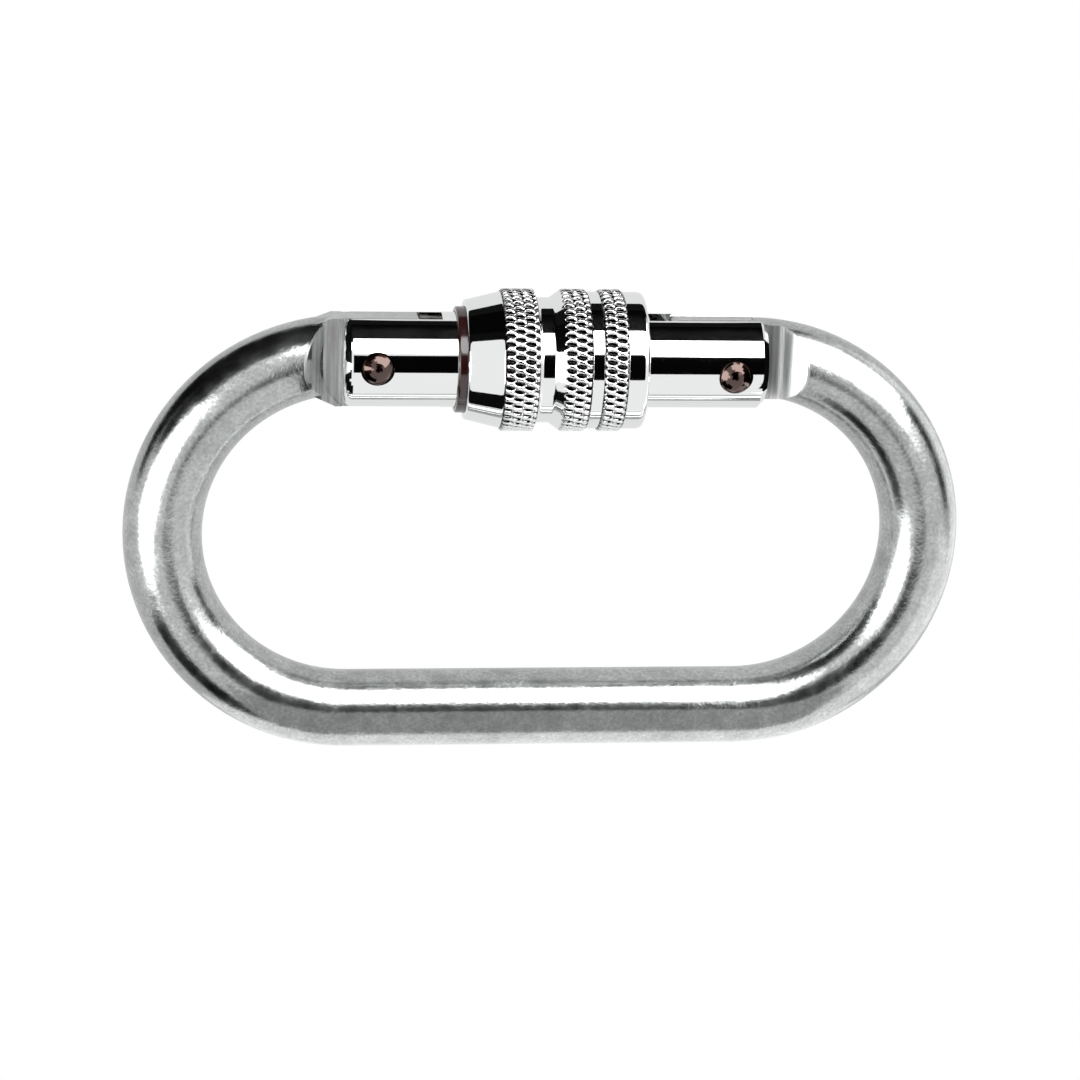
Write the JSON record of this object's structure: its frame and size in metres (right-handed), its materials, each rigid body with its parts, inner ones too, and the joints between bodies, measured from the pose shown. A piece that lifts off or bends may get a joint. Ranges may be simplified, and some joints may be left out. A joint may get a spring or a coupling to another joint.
{
  "type": "screwgate carabiner",
  "caption": "Oval steel carabiner of bent round bar with a sprung hinged gate and a knurled screw sleeve that locks it.",
  "frame": {"origin": "centre of the overall box, on the middle plane of the oval", "axes": "+X along the oval from the hinge end to the nose end, +Y from the spine to the gate, +Z square to the oval, upward from the face the part lies on"},
  "size_m": [0.108, 0.0604, 0.018],
  "materials": {
    "zinc_bar": "zinc-plated, satin with a fine grain",
    "bright_plate": "bright nickel plate",
    "rivet_steel": "polished",
    "spring_steel": "drawn wire",
    "plunger_steel": "turned",
    "dark_ring": "dark red-brown, half gloss"
  },
  "bodies": {
    "bar": {"body": "zinc_bar"},
    "gate": {"gate_barrel": "bright_plate", "hinge_rivet": "rivet_steel", "latch_pin": "rivet_steel", "return_spring": "spring_steel"},
    "plunger": {"spring_plunger": "plunger_steel"},
    "ring": {"sleeve_ring": "dark_ring"},
    "sleeve": {"locking_sleeve": "bright_plate"}
  },
  "joints": [
    {"name": "gate_hinge", "type": "hinge", "parent": "bar", "child": "gate", "pos_m": [-0.0224, 0.0212, 0], "axis": [0, 0, -1], "range_deg": [0, 38], "stiffness_Nm_per_rad": 0.03, "springref_deg": -154.7},
    {"name": "plunger_slide", "type": "slide", "parent": "gate", "child": "plunger", "axis": [1, 0, 0], "range_m": [0, 0.00107], "deforming": ["return_spring"]},
    {"name": "sleeve_travel", "type": "slide", "parent": "gate", "child": "ring", "axis": [1, 0, 0], "range_m": [0, 0.0189]},
    {"name": "sleeve_turn", "type": "hinge", "parent": "ring", "child": "sleeve", "pos_m": [0, 0.0212, 0], "axis": [1, 0, 0], "range_deg": [0, 4536]}
  ],
  "couplings": [
    {"joint": "plunger_slide", "follows": "gate_hinge", "m_per_rad": 0.0016},
    {"joint": "sleeve_turn", "follows": "sleeve_travel", "rad_per_m": 4188.8}
  ]
}
